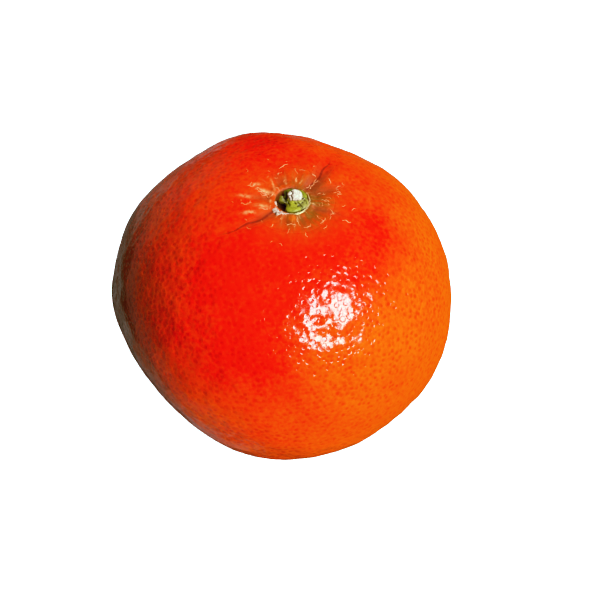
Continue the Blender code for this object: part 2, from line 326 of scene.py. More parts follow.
# The pale torn crescent on the hollow's rim: its azimuths, its inner edge's reach at either end, its width
# and how much more it is in the middle, its mesh, and how it bulges over the rim and tucks in
TISSUE_ARC = (-174.0, -96.0)
TISSUE_REACH = (2.85 * MM, 3.3 * MM)
TISSUE_WIDTH = (0.5 * MM, 1.25 * MM)
TISSUE_MESH = (60, 14)
TISSUE_RIM = 4.1 * MM
TISSUE_BULGE = 0.32 * MM
TISSUE_LUMP = 0.2 * MM
TISSUE_GRAIN = 0.45 * MM
TISSUE_RAGGED = 0.3 * MM
TISSUE_SINK = 0.15 * MM
TISSUE_EDGE = 0.1 * MM
TISSUE_TUCK = 0.9 * MM

# Where the peel is ripe red: azimuth, latitude and spread in degrees, then strength
RED_PATCHES = (
    (-116, 47, 32, 0.95),
    (-47, 69, 22, 0.65),
    (-100, 28, 18, 0.33),
    (-12, 57, 14, 0.4),
    (102, 60, 32, 0.9),
    (-37, 56, 14, 0.6),
    (-55, 62, 12, 0.45),
    (190, 25, 40, 0.4),
    (-90, 4, 24, 0.22),
    (60, 5, 30, 0.4),
    (130, -30, 35, 0.5),
    (26, 50, 10, 0.45),
    (-15, 32, 16, 0.2),
    (198, 20, 20, -0.35),
)

# The peel's colours: from orange to ripe red, then what lies over them
RIPENESS = ((0.0, (0.84, 0.051, 0.003)), (0.45, (0.84, 0.028, 0.003)), (1.0, (0.84, 0.004, 0.002)))
STEM_TINT = (0.7, 0.6, 0.5)
OLIVE = (0.15, 0.033, 0.005)
PALE_STREAK = (0.8, 0.27, 0.12)
# Painted shade: a dark red laid into the puckers' folds near the button
FOLD_SHADE = (0.25, 0.025, 0.012)
BLISTER_TINT = (0.5, 0.055, 0.005)
# Painted shade: the dark line along each pucker's floor
CREASE_SHADE = (0.15, 0.006, 0.006)
# Painted shade: the hollow's wall and floor round the button are darkened
HOLLOW_SIDE_SHADE = (0.18, 0.03, 0.008)
HOLLOW_FLOOR_SHADE = (0.07, 0.011, 0.006)
GLAND_TINT = (0.8, 0.46, 0.36)
LIGHT_MOTTLE = (1.06, 1.4, 2.0)
DARK_MOTTLE = (0.85, 0.6, 0.6)

# How large the streaks round the button are, as a share of the ridges' size
RAY_SIZE = 1.0 / 3.0

# How a gland's pit rises from its middle, at 0, to its rim, at 1
PIT_PROFILE = ((0.0, 1.0), (0.62, 0.9), (0.97, 0.0))

# Colours of the button and of the stalk's end, and the darker and paler tone of each dry tissue
BUTTON_PATCH = (0.27, 0.21, 0.03)
BUTTON_SPECK = (0.16, 0.12, 0.012)
# Painted shade in the button's grooves, crevice, cracks, pit and underside
BUTTON_SHADE = (0.035, 0.018, 0.005)
STALK_GRAIN = ((0.3, (0.28, 0.15, 0.10)), (0.5, (0.5, 0.31, 0.26)), (0.75, (0.66, 0.41, 0.36)))
# Painted shade inside the stalk end's cracks
STALK_CRACK_SHADE = (0.035, 0.015, 0.006)
FIBRE_TONES = ((0.26, 0.19, 0.1), (0.48, 0.36, 0.25))
CORK_TONES = ((0.75, 0.13, 0.05), (0.8, 0.30, 0.17))
RIM_TONES = ((0.36, 0.2, 0.08), (0.6, 0.38, 0.22))
SCAR_TONES = ((0.22, 0.08, 0.055), (0.60, 0.36, 0.30))

# The photograph: its size, the fruit's middle and its scale there, in pixels and pixels per millimetre
PHOTO_SIZE = 600
PHOTO_MIDDLE = (281.5, 296.0)
PHOTO_SCALE = 4.83

# The camera: degrees above the level of the fruit, distance in metres and sensor width in millimetres
CAMERA_ELEVATION = 52.0
CAMERA_DISTANCE = 0.5
SENSOR = 36.0

# The lights: azimuth and elevation in degrees, distance and size in metres, and power in watts. The key
# light, which the peel mirrors, is also turned about its beam.
KEY_LIGHT = ("key_light", -46.5, 36.5, 1.0, (0.62, 0.42), 17.5)
KEY_TURN = 32.0
FILL_LIGHTS = (
    ("sky_light", 40.0, 70.0, 1.0, (0.4, 0.4), 4.0),
    ("top_light", 22.0, 54.0, 1.2, (0.25, 0.25), 19.5),
    ("low_light", -60.0, 6.0, 1.2, (0.4, 0.3), 16.5),
    ("back_light", 90.0, -CAMERA_ELEVATION, 1.2, (0.3, 0.3), 16.0),
    ("left_light", -102.0, 30.0, 1.2, (0.4, 0.4), 1.8),
)

# The surroundings that the gloss shows: directions in them, then their colours. On the left lie a veil and,
# farther behind, a band of streaks and gaps, which is wider and brighter higher up, and a pale edge.
BEHIND = (0.0, 0.616, -0.788)
UPWARD = (0.0, 0.788, 0.616)
LEFT = (-1.0, 0.0, 0.0)
RIGHT = (1.0, 0.0, 0.0)
DIM = (0.01, 0.01, 0.01)
VEIL = (0.36, 0.19, 0.28)
BAND = (0.195, 0.142, 0.17)
STREAKS = (0.54, 0.42, 0.49)
GAP = (0.05, 0.035, 0.035)
STREAK_STRETCH = ((BEHIND, 20.0), (UPWARD, 8.0), (RIGHT, 8.0))
HIGH_GAIN = (1.2, 1.45, 1.35)
EDGE = (0.30, 0.27, 0.27)
WARM = (0.9, 0.16, 0.004)

# What the camera sees behind the fruit: white once the picture's tone curves have taken it in
BACKDROP = (3.5, 2.1, 2.1)
FLOOR_GLOW = (1.0, 0.6, 0.6)
FLOOR_STRENGTH = 3.5
FLOOR_COLOUR = (0.3, 0.3, 0.3)
FLOOR_SIZE = 6.0

# How the picture takes in light, as in the photograph: its strong reds level off and its weak blues sink
BLACK_LEVEL = (0.002, 0.001, 0.002)
WHITE_LEVEL = (3.4, 1.0, 1.0)
LOW_REDS = ((0.0, 0.0), (0.03, 0.085), (0.13, 0.34), (0.265, 0.635), (0.353, 0.775))
REDS = (*LOW_REDS, (0.44, 0.86), (0.59, 0.905), (0.82, 0.945), (1.0, 1.0))
BLUES = ((0.0, 0.0022), (0.015, 0.005), (0.05, 0.025), (0.2, 0.17), (0.4, 0.4), (1.0, 1.0))


def smooth_step(value):
    """From 0 to 1 as the value goes from 0 to 1, level at both ends."""
    value = np.clip(value, 0.0, 1.0)
    return value * value * (3.0 - 2.0 * value)


def bell(value):
    """1 at 0, falling off alike on both sides."""
    return np.exp(-(value**2))


def direction(azimuth, latitude):
    around, up = math.radians(azimuth), math.radians(latitude)
    return np.array([math.cos(up) * math.cos(around), math.cos(up) * math.sin(around), math.sin(up)])


def angle_from(normals, azimuth, latitude):
    """Angle in radians of each unit vector from one direction."""
    return np.arccos(np.clip(normals @ direction(azimuth, latitude), -1.0, 1.0))


def patches_at(normals, patches):
    """Sum at each unit vector of soft round patches: azimuth, latitude, spread in degrees, strength."""
    total = np.zeros(len(normals))
    for azimuth, latitude, spread, strength in patches:
        total += strength * bell(angle_from(normals, azimuth, latitude) / math.radians(spread))
    return total


def turned(across, along, heading):
    """A place's distance ahead along a heading, and to its left."""
    ahead = across * np.cos(heading) + along * np.sin(heading)
    return ahead, along * np.cos(heading) - across * np.sin(heading)


def body_radius(normals):
    """Distance from the core to the plain body, without its stem end, along each unit vector."""
    radius = 1.0 / np.sqrt(
        (normals[:, 0] / HALF_WIDTH) ** 2
        + (normals[:, 1] / HALF_DEPTH) ** 2
        + (normals[:, 2] / HALF_HEIGHT) ** 2
    )
    return radius + MM * patches_at(normals, SWELLS)


def puckers_at(across, along):
    """At points placed round the stem axis: how deep the puckers are, and how near their floors' lines of
    painted shade.
    """
    from_stem = np.hypot(across, along)
    depth = np.zeros_like(from_stem)
    crease = np.zeros_like(from_stem)
    for azimuth, turn, length, deepest, width, line in PUCKERS:
        reach = length * MM
        forward, aside = turned(across, along, np.radians(azimuth + turn * from_stem / reach))
        rise = smooth_step((from_stem - PUCKER_START) / (PUCKER_FULL - PUCKER_START))
        fade = 1.0 - smooth_step((from_stem - PUCKER_FULL) / (reach - PUCKER_FULL))
        half_width = 0.5 * width * MM * (1.0 + from_stem / PUCKER_WIDENING)
        strong = np.where(forward > 0.0, deepest * MM * rise * fade, 0.0)
        depth += strong * bell(aside / half_width)
        dying = 1.0 - smooth_step((from_stem - CREASE_FADE[0]) / (CREASE_FADE[1] - CREASE_FADE[0]))
        painted_shade = line * rise * dying * (forward > 0.0)
        swaying = aside + CREASE_SWAY * np.sin(from_stem / CREASE_CURL + azimuth)
        crease = np.maximum(crease, painted_shade * bell(swaying / CREASE_WIDTH))
    return depth, np.minimum(crease, 1.0)


class Skin:
    """The peel's fine mesh as numbers: unit vectors, triangles and what each vertex is near."""

    def __init__(self):
        self.normals, self.faces = even_sphere(SKIN_FREQUENCY, SKIN_CROWDING)
        self.radius = body_radius(self.normals)
        self.smooth = self.normals * self.radius[:, None]
        across = self.normals[:, 0] * self.radius - STEM_X
        along = self.normals[:, 1] * self.radius - STEM_Y
        on_top = self.normals[:, 2] > 0.0
        self.from_stem = np.where(on_top, np.hypot(across, along), 1.0)
        fold, crease = puckers_at(across, along)
        self.fold = np.where(on_top, fold, 0.0)
        self.crease = np.where(on_top, crease, 0.0)
        basin = BASIN_DEPTH * bell(self.from_stem / BASIN_SPREAD)
        collar = COLLAR_HEIGHT * bell((self.from_stem - COLLAR_RADIUS) / COLLAR_WIDTH)
        self.radius += collar - basin - self.fold
        self.points = self.normals * self.radius[:, None]
        reach = np.maximum(self.from_stem, 1e-6)
        self.heading = np.stack([across / reach, along / reach], axis=1) * on_top[:, None]
        away = np.hypot(across - BLISTER[0], along - BLISTER[1])
        self.blister = np.where(on_top, bell(away / BLISTER_RADIUS), 0.0)


def crowd_towards_stem(normals, crowding):
    """Moves points of the unit sphere towards +Z, and keeps the triangles there well shaped."""
    around = np.arctan2(normals[:, 1], normals[:, 0])
    from_top = np.arctan2(np.hypot(normals[:, 0], normals[:, 1]), normals[:, 2])
    crowded = 2.0 * np.arctan(crowding * np.tan(from_top / 2.0))
    level = np.sin(crowded)
    return np.stack([level * np.cos(around), level * np.sin(around), np.cos(crowded)], axis=1)


def points_and_faces(bm):
    """A shape's vertices and faces as lists; the shape itself is let go."""
    bm.verts.index_update()
    points = [vertex.co.copy() for vertex in bm.verts]
    faces = [[vertex.index for vertex in face.verts] for face in bm.faces]
    bm.free()
    return points, faces


def even_sphere(frequency, crowding):
    """Vertices and triangles of a unit sphere of nearly equal triangles, finer round the stem."""
    bm = bmesh.new()
    bmesh.ops.create_icosphere(bm, subdivisions=1, radius=1.0)
    bmesh.ops.subdivide_edges(bm, edges=bm.edges[:], cuts=frequency - 1, use_grid_fill=True)
    points, faces = points_and_faces(bm)
    normals = np.array(points, dtype=float)
    normals /= np.linalg.norm(normals, axis=1)[:, None]
    return crowd_towards_stem(normals, crowding), np.array(faces)


def noise_at(points, wavelength, offset):
    """Smooth noise from about -1 to 1 at each point."""
    shift = Vector((offset, 0.0, 0.0))
    return np.array([noise.noise(Vector(point) / wavelength + shift) for point in points])


def ridges_at(skin):
    """Fine ridges that run out from the button, from -1 to 1, fading over the shoulder."""
    ridges = np.zeros(len(skin.points))
    start = smooth_step((skin.from_stem - RIDGE_START[0]) / RIDGE_START[1])
    window = start * (1.0 - smooth_step((skin.from_stem - RIDGE_FADE[0]) / RIDGE_FADE[1]))
    for row in np.nonzero(window)[0]:
        across, along = skin.heading[row] * RIDGE_TURNS
        place = Vector((across, along, skin.from_stem[row] / RIDGE_STRETCH))
        ridges[row] = window[row] * noise.noise(place)
    return ridges


def olive_at(skin):
    """How dull and green the peel is round the button, most on its front right."""
    near = 1.0 - smooth_step((skin.from_stem - HOLLOW_RADIUS) / OLIVE_REACH)
    towards = skin.heading @ direction(OLIVE_AZIMUTH, 0.0)[:2]
    return near * (OLIVE_LEAST + (1.0 - OLIVE_LEAST) * smooth_step(0.5 + 0.5 * towards))


def pale_at(skin):
    """How much of a soft pale patch each vertex lies in."""
    across, along = skin.heading.T * skin.from_stem
    pale = np.zeros(len(skin.points))
    for x, y, half_length, half_width, turn in PALE_PATCHES:
        ahead, aside = turned(across / MM - x, along / MM - y, math.radians(turn))
        pale = np.maximum(pale, bell(np.hypot(ahead / half_length, aside / half_width)))
    return pale


def scatter_glands():
    """Places on the skin for the gland pits, in jittered rows, and each one's radius and strength."""
    rng = random.Random(GLAND_SEED)
    normals, _ = even_sphere(GLAND_FREQUENCY, 1.0)
    radius = body_radius(normals)
    places, sizes, strengths = [], [], []
    for normal, reach in zip(normals, radius):
        jitter = Vector([rng.uniform(-GLAND_SCATTER, GLAND_SCATTER) for _ in range(3)])
        places.append(Vector(normal * reach) + jitter)
        sizes.append(GLAND_SMALL + (GLAND_LARGE - GLAND_SMALL) * rng.random() ** 1.5)
        strengths.append(GLAND_FAINTEST + (1.0 - GLAND_FAINTEST) * rng.random() ** 2)
    tree = kdtree.KDTree(len(places))
    for index, place in enumerate(places):
        tree.insert(place, index)
    tree.balance()
    return tree, sizes, strengths


def nearest_gland(tree, sizes, point):
    """The place, number and distance of the gland that a point is nearest to, counted in its radii."""
    return min(tree.find_n(point, GLANDS_TRIED), key=lambda found: found[2] / sizes[found[1]])


def link(name, data):
    item = bpy.data.objects.new(name, data)
    bpy.context.scene.collection.objects.link(item)
    return item


def mesh_object(name, points, faces):
    mesh = bpy.data.meshes.new(name)
    mesh.from_pydata([tuple(point) for point in points], [], [tuple(face) for face in faces])
    mesh.update()
    mesh.shade_smooth()
    return link(name, mesh)


def store(item, name, values, kind="FLOAT", domain="POINT"):
    """Keeps a number, a vector or a colour for each vertex or corner, for a material to read."""
    layer = item.data.attributes.new(name, kind, domain)
    field = {"FLOAT": "value", "FLOAT_VECTOR": "vector", "FLOAT_COLOR": "color"}[kind]
    layer.data.foreach_set(field, np.asarray(values, dtype=np.float32).ravel())


def store_glands(peel, skin, tree, sizes, strengths):
    """Keeps, at each corner, its place from the face's nearest gland in its radii, and its strength."""
    middles = skin.smooth[skin.faces].mean(axis=1)
    offsets = np.empty((len(skin.faces), 3, 3))
    strong = np.empty((len(skin.faces), 3))
    for row, (face, middle) in enumerate(zip(skin.faces, middles)):
        place, index, _ = nearest_gland(tree, sizes, middle)
        offsets[row] = (skin.smooth[face] - np.array(place)) / sizes[index]
        strong[row] = strengths[index]
    store(peel, "gland", offsets, "FLOAT_VECTOR", "CORNER")
    store(peel, "strength", strong, domain="CORNER")


def middle_on_box(points):
    """The move that sets points round the core in the frame, on the fruit's own box."""
    low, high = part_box("fruit")
    middle = (points.min(axis=0) + points.max(axis=0)) / 2.0
    across, along = (low[0] + high[0]) / 2.0 - middle[0], (low[1] + high[1]) / 2.0 - middle[1]
    return np.array([across, along, low[2] + CORE_HEIGHT])


def relief_at(skin, tree, sizes, strengths):
    """Height of pits, waves, ridges, blister and dents over the skin."""
    pits = np.zeros(len(skin.points))
    for row, point in enumerate(skin.smooth):
        _, index, distance = nearest_gland(tree, sizes, point)
        pits[row] = strengths[index] * max(0.0, 1.0 - (distance / sizes[index]) ** 2) ** 2
    calm = smooth_step((skin.from_stem - PITS_GROW[0]) / PITS_GROW[1])
    relief = -GLAND_DEPTH * pits * (0.25 + 0.75 * calm)
    leftward = smooth_step((-skin.normals[:, 0] - 0.3) / 0.45)
    for offset, (wavelength, height) in enumerate(WAVES):
        relief += height * (1.0 - LEFT_CALM * leftward) * noise_at(skin.points, wavelength, 10.0 * offset)
    relief += RIDGE_HEIGHT * ridges_at(skin) + BLISTER_HEIGHT * skin.blister
    for azimuth, latitude, width, deepest in DENTS:
        away = angle_from(skin.normals, azimuth, latitude) * skin.radius
        relief -= deepest * MM * bell(away / (width * MM))
    return relief


def settle(points):
    """Rests the underside on its spot, with the scar's dimple in the middle."""
    from_axis = np.hypot(points[:, 0], points[:, 1])
    dimple = SCAR_DEPTH * np.maximum(0.0, 1.0 - (from_axis / SCAR_RADIUS) ** 2)
    settled = np.maximum(points[:, 2], dimple - CORE_HEIGHT)
    points[:, 2] = np.where(points[:, 2] < 0.0, settled, points[:, 2])


def make_peel():
    skin = Skin()
    tree, sizes, strengths = scatter_glands()
    relief = relief_at(skin, tree, sizes, strengths)
    wall = smooth_step((skin.from_stem - HOLLOW_RADIUS + HOLLOW_WALL) / HOLLOW_WALL)
    points = skin.normals * (skin.radius + relief * wall)[:, None]
    points[:, 2] -= HOLLOW_DEPTH * (1.0 - wall)
    settle(points)
    points += middle_on_box(points)
    peel = mesh_object("peel_skin", points, skin.faces)
    for name, values in (
        ("fold", skin.fold / MM),
        ("crease", skin.crease),
        ("olive", olive_at(skin)),
        ("blister", skin.blister),
        ("pale", pale_at(skin)),
        ("stem", np.minimum(skin.from_stem, 0.05) / MM),
        ("red", np.clip(patches_at(skin.normals, RED_PATCHES), 0.0, 1.0)),
    ):
        store(peel, name, values)
    rays = np.concatenate([skin.heading * RIDGE_TURNS, skin.from_stem[:, None] / RIDGE_STRETCH], axis=1)
    store(peel, "rays", rays, "FLOAT_VECTOR")
    store_glands(peel, skin, tree, sizes, strengths)
    return peel


def line_distance(x, y, lines):
    """Distance from a place to the nearest of some lines, whose points are in millimetres."""
    place = Vector((x, y, 0.0))
    nearest = 1.0
    for line in lines:
        for start, end in zip(line, line[1:]):
            first = Vector((*start, 0.0)) * MM
            span = Vector((*end, 0.0)) * MM - first
            share = min(1.0, max(0.0, (place - first).dot(span) / span.length_squared))
            nearest = min(nearest, (place - first - span * share).length)
    return nearest


def azimuth_away(around, azimuth):
    """Degrees between a turn in radians and an azimuth in degrees."""
    return math.degrees(abs(math.remainder(around - math.radians(azimuth), 2.0 * math.pi)))


def lobe_at(around):
    """How near an azimuth is to a lobe's middle, from 0 in a notch to 1, with that lobe."""
    nearest, lobe_there = 0.0, LOBES[0]
    for lobe in LOBES:
        away = azimuth_away(around, lobe[0])
        nearness = math.cos(min(away / lobe[1], 1.0) * math.pi / 2.0)
        if nearness > nearest:
            nearest, lobe_there = nearness, lobe
    return nearest, lobe_there


def shape_button(unit):
    """Carries a point of the unit sphere to the button, whose underside is at height 0."""
    around = math.atan2(unit.y, unit.x)
    nearness, lobe = lobe_at(around)
    share = 1.0 - (1.0 - lobe[2]) * nearness
    notch = (1.0 - nearness) ** 2
    gap = 0.0
    for azimuth, half_width, deepest in GAPS:
        gap += deepest * bell((azimuth_away(around, azimuth) / half_width) ** 2)
    out = min(1.0, math.hypot(unit.x, unit.y)) ** BUTTON_SPREAD
    reach = out * (BUTTON_RADIUS * share - NOTCH_DEPTH * notch - gap)
    skirt = BUTTON_SKIRT * BUTTON_THICKNESS
    x, y = reach * math.cos(around), reach * math.sin(around)
    crack = bell(line_distance(x, y, BUTTON_CRACKS) / BUTTON_CRACK_WIDTH)
    aside, along = (x - PIT_PLACE[0]) / PIT_REACH[0], (y - PIT_PLACE[1]) / PIT_REACH[1]
    pit = bell(aside**2 + along**2)
    if unit.z <= 0.0:
        height = skirt * math.sqrt(1.0 + unit.z)
        # Painted shade: the button's underside is fully darkened
        painted_shade = 1.0
    else:
        groove = notch * float(smooth_step((out - GROOVE_START) / (GROOVE_FULL - GROOVE_START)))
        crevice = bell((out - CREVICE_PLACE) / CREVICE_WIDTH)
        dome = (BUTTON_THICKNESS - skirt - GROOVE_DEPTH * groove) * unit.z**BUTTON_DOMING
        wrinkle = noise.fractal(Vector((x, y, 0.0)) / BUTTON_WRINKLE_SIZE, 1.0, 2.0, 3) * BUTTON_WRINKLE
        sunk = CREVICE_DEPTH * crevice + BUTTON_CRACK_DEPTH * crack + PIT_DEPTH * pit
        height = skirt + dome + (wrinkle - sunk) * unit.z
        # Painted shade: darker in the grooves, crevice, cracks and pit, and low on the button's sides
        painted_shade = min(1.0, 0.5 * groove + 0.35 * crevice + crack + 1.3 * pit + max(0.0, 0.5 - 2.0 * unit.z))
    return Vector((x, y, height)), lobe[3], painted_shade


def sphere_mesh(slices, rings):
    """Unit vectors and faces of a globe."""
    bm = bmesh.new()
    bmesh.ops.create_uvsphere(bm, u_segments=slices, v_segments=rings, radius=1.0)
    return points_and_faces(bm)


def make_button(place):
    units, faces = sphere_mesh(BUTTON_SLICES, BUTTON_RINGS)
    shaped = [shape_button(unit) for unit in units]
    button = mesh_object("button_skin", [place + point for point, _, _ in shaped], faces)
    store(button, "tone", [(*tone, 1.0) for _, tone, _ in shaped], "FLOAT_COLOR")
    store(button, "painted_shade", [painted_shade for _, _, painted_shade in shaped])
    return button


def square_off(value):
    """Swells a coordinate of the unit sphere towards a cylinder's."""
    return math.copysign(abs(value) ** STUB_SQUARENESS, value)


def make_stub(low, high):
    """The stalk's end: a blunt post with a rough, cracked top."""
    units, faces = sphere_mesh(STUB_SLICES, STUB_RINGS)
    middle = (low + high) / 2.0
    radius = (high.x - low.x) / 2.0
    height = high.z - low.z
    points, cracks = [], []
    for unit in units:
        around = math.atan2(unit.y, unit.x)
        reach = radius * square_off(min(1.0, math.hypot(unit.x, unit.y)))
        reach *= 0.97 + 0.05 * noise.noise(Vector((math.cos(around), math.sin(around), 0.0)) * 1.7)
        x, y = reach * math.cos(around), reach * math.sin(around)
        y = max(y, -STUB_FRONT * radius - STUB_FRONT_BEND * abs(x))
        upper = max(unit.z, 0.0)
        crack = bell(line_distance(x, y, STUB_CRACKS) / STUB_CRACK_WIDTH)
        left = float(smooth_step((-x / radius - 0.1) / 0.4))
        rough = noise.fractal(Vector((x, y, unit.z * MM)) / STUB_GRAIN, 1.0, 2.0, 4) * STUB_ROUGHNESS
        z = height * (1.0 + square_off(unit.z)) / 2.0 - STUB_SLOPE * 0.5 * (x + radius) * upper
        z += upper * (rough - STUB_LEFT_DROP * left) - STUB_CRACK_DEPTH * crack * min(1.0, 3.0 * upper)
        points.append(Vector((middle.x + STUB_WIDENING * x, middle.y + y, low.z + max(z, 0.0))))
        cracks.append(crack)
    stub = mesh_object("stalk_end_skin", points, faces)
    store(stub, "crack", cracks)
    return stub


def walk(line, sway, rng):
    """Even steps along a line of points in millimetres, curling a little from side to side."""
    steps = []
    travelled = rng.uniform(0.0, MARK_CURL)
    sway *= rng.uniform(0.3, 1.0)
    for start, end in zip(line, line[1:]):
        first, last = Vector(start) * MM, Vector(end) * MM
        ahead = last - first
        aside = Vector((-ahead.y, ahead.x)).normalized()
        count = max(2, round(ahead.length / MARK_STEP))
        for step in range(count):
            curl = math.sin(2.0 * math.pi * (travelled + ahead.length * step / count) / MARK_CURL)
            steps.append(first.lerp(last, step / count) + aside * (sway * curl))
        travelled += ahead.length
    steps.append(last)
    return steps


def drop(ground, x, y, top):
    """Where a line dropped from above meets the skin, and the skin's normal there."""
    start = Vector((x, y, top + DROP_HEIGHT))
    place, normal, _, _ = ground.ray_cast(start, Vector((0.0, 0.0, -1.0)))
    return place, normal


def add_mark(line, radius, sway, ground, stem, rng, points, faces):
    """Adds one thin pale ridge that lies along a line on the skin."""
    sides = MARK_SIDES
    rings = []
    steps = walk(line, sway, rng)
    for index, step in enumerate(steps):
        place, normal = drop(ground, stem.x + step.x, stem.y + step.y, stem.z)
        if place is None:
            continue
        share = index / (len(steps) - 1)
        thick = radius * (0.35 + 0.65 * math.sin(math.pi * share) ** 0.5) * rng.uniform(0.6, 1.25)
        rings.append((place, normal, thick))
    first = len(points)
    for index, (place, normal, thick) in enumerate(rings):
        before, after = rings[max(0, index - 1)][0], rings[min(len(rings) - 1, index + 1)][0]
        forward = (after - before).normalized()
        side = forward.cross(normal).normalized()
        for corner in range(sides):
            turn = 2.0 * math.pi * corner / sides
            points.append(place + side * thick * math.cos(turn) + normal * thick * 0.8 * math.sin(turn))
    for index in range(len(rings) - 1):
        for corner in range(sides):
            a = first + index * sides + corner
            b = first + index * sides + (corner + 1) % sides
            faces.append((a, b, b + sides, a + sides))
    last = first + (len(rings) - 1) * sides
    faces.append(tuple(range(first, first + sides))[::-1])
    faces.append(tuple(range(last, last + sides)))


def rim_lines():
    """Wavy arcs round the hollow, their points in millimetres, each with its radius."""
    for distance, start, end, radius in RIM_LINES:
        count = max(3, round(abs(end - start) / RIM_STEP))
        line = []
        for step in range(count + 1):
            turn = math.radians(start + (end - start) * step / count)
            reach = distance + RIM_WOBBLE * math.sin(3.0 * turn)
            line.append((reach * math.cos(turn), reach * math.sin(turn)))
        yield line, radius * MM


def make_marks(ground, stem):
    rng = random.Random(MARK_SEED)
    points, faces = [], []
    for line in MARKS:
        add_mark(line, MARK_RADIUS, MARK_SWAY, ground, stem, rng, points, faces)
    for _ in range(SPARE_MARKS):
        turn = rng.uniform(0.0, 2.0 * math.pi)
        reach = rng.uniform(*SPARE_REACH)
        heading = rng.uniform(0.0, math.pi)
        length = rng.uniform(*SPARE_LENGTH)
        x, y = reach * math.cos(turn), reach * math.sin(turn)
        end = (x + length * math.cos(heading), y + length * math.sin(heading))
        add_mark(((x, y), end), SPARE_RADIUS, MARK_SWAY, ground, stem, rng, points, faces)
    return mesh_object("cork_marks", points, faces)


def make_threads(name, lines, ground, stem):
    """Thin ridges that sway little; each line comes with its radius."""
    rng = random.Random(MARK_SEED)
    points, faces = [], []
    for line, radius in lines:
        add_mark(line, radius, SLIGHT_SWAY, ground, stem, rng, points, faces)
    return mesh_object(name, points, faces)


def make_scar_tissue(ground, stem):
    """The pale torn crescent on the hollow's left front rim."""
    points, faces = [], []
    columns, rows = TISSUE_MESH
    start, end = TISSUE_ARC
    narrow, swollen = TISSUE_WIDTH
    rim = drop(ground, stem.x - TISSUE_RIM, stem.y, stem.z)[0].z
    for column in range(columns + 1):
        share = column / columns
        turn = math.radians(start + (end - start) * share)
        swell = math.sin(math.pi * share) ** 0.6
        width = narrow + swollen * swell**2
        inner = TISSUE_REACH[0] + (TISSUE_REACH[1] - TISSUE_REACH[0]) * share
        for row in range(rows + 1):
            side = row / rows
            ragged = TISSUE_RAGGED * noise.fractal(Vector((share * 9.0, 0.5 * side, 3.0)), 1.0, 2.0, 3)
            reach = inner + width * (1.0 - side) + ragged * swell
            x, y = stem.x + reach * math.cos(turn), stem.y + reach * math.sin(turn)
            bulge = math.sin(math.pi * min(1.0, side * 1.25)) ** 0.5 if side < 0.8 else 0.0
            lump = noise.fractal(Vector((x, y, 0.0)) / TISSUE_GRAIN, 1.0, 2.0, 4) * TISSUE_LUMP
            tuck = TISSUE_SINK + TISSUE_TUCK * max(0.0, side - 0.65) / 0.35
            tuck += TISSUE_EDGE if row == 0 else 0.0
            points.append(Vector((x, y, rim + (TISSUE_BULGE * bulge + lump) * swell - tuck)))
    for column in range(columns):
        for row in range(rows):
            a = column * (rows + 1) + row
            faces.append((a, a + 1, a + rows + 2, a + rows + 1))
    return mesh_object("scar_tissue", points, faces)


class Nodes:
    """A material's or the world's node tree, with short calls for adding and joining nodes."""

    def __init__(self, owner):
        owner.use_nodes = True
        self.owner = owner
        self.tree = owner.node_tree

    def feed(self, socket, value):
        """Joins an output to a socket, or sets the socket's own colour or number."""
        if isinstance(value, tuple):
            socket.default_value = (*value, 1.0)
        elif isinstance(value, (int, float)):
            socket.default_value = value
        else:
            self.tree.links.new(value, socket)

    def feed_all(self, node, inputs):
        for name, value in inputs.items():
            self.feed(node.inputs[name], value)

    def add(self, kind, inputs=None, **settings):
        """A new node with its settings, and with what goes into its named inputs."""
        node = self.tree.nodes.new("ShaderNode" + kind)
        for key, value in settings.items():
            setattr(node, key, value)
        self.feed_all(node, inputs or {})
        return node

    def attribute(self, name, output="Fac"):
        return self.add("Attribute", attribute_name=name).outputs[output]

    def ramp(self, factor, stops, interpolation="LINEAR"):
        """A colour or grey ramp; each stop is a place and a colour or a grey."""
        node = self.add("ValToRGB", {"Fac": factor})
        ramp = node.color_ramp
        ramp.interpolation = interpolation
        while len(ramp.elements) < len(stops):
            ramp.elements.new(0.5)
        for element, (place, colour) in zip(ramp.elements, stops):
            element.position = place
            rgb = colour if isinstance(colour, tuple) else (colour,) * 3
            element.color = (*rgb, 1.0)
        return node.outputs["Color"]

    def maths(self, operation, first, second, clamp=False):
        node = self.add("Math", operation=operation, use_clamp=clamp)
        self.feed(node.inputs[0], first)
        self.feed(node.inputs[1], second)
        return node.outputs["Value"]

    def times(self, *factors, clamp=False):
        product = factors[0]
        for factor in factors[1:]:
            product = self.maths("MULTIPLY", product, factor, clamp)
        return product

    def between(self, value, start, end, low=0.0, high=1.0):
        """Carries a value from one range to another, and holds it within the second."""
        inputs = {"Value": value, "From Min": start, "From Max": end, "To Min": low, "To Max": high}
        return self.add("MapRange", inputs, interpolation_type="SMOOTHSTEP").outputs["Result"]

    def mix(self, factor, first, second, blend="MIX"):
        node = self.add("Mix", data_type="RGBA", blend_type=blend)
        sockets = {socket.name: socket for socket in node.inputs if socket.enabled}
        for name, value in (("Factor", factor), ("A", first), ("B", second)):
            self.feed(sockets[name], value)
        return [socket for socket in node.outputs if socket.enabled][0]

    def noise(self, size, detail=2.0, roughness=0.5, place=None):
        """Noise from 0 to 1 whose features are about so large in the object, or in another place."""
        inputs = {"Scale": 1.0 / size, "Detail": detail, "Roughness": roughness}
        return self.add("TexNoise", {**inputs, "Vector": place or self.coordinates()}).outputs["Fac"]

    def coordinates(self):
        if not hasattr(self, "place"):
            self.place = self.add("TexCoord").outputs["Object"]
        return self.place

    def bump(self, height, distance, strength=1.0, under=None):
        node = self.add("Bump", {"Strength": strength, "Distance": distance, "Height": height})
        if under is not None:
            self.feed(node.inputs["Normal"], under)
        return node.outputs["Normal"]


def new_material(name):
    return Nodes(bpy.data.materials.new(name))


def finish(nodes, colour, normal, roughness, **more):
    """Gives the shader what it takes in, and gives the material."""
    inputs = {"Base Color": colour, "Roughness": roughness, **more}
    if normal is not None:
        inputs["Normal"] = normal
    nodes.feed_all(nodes.tree.nodes["Principled BSDF"], inputs)
    return nodes.owner


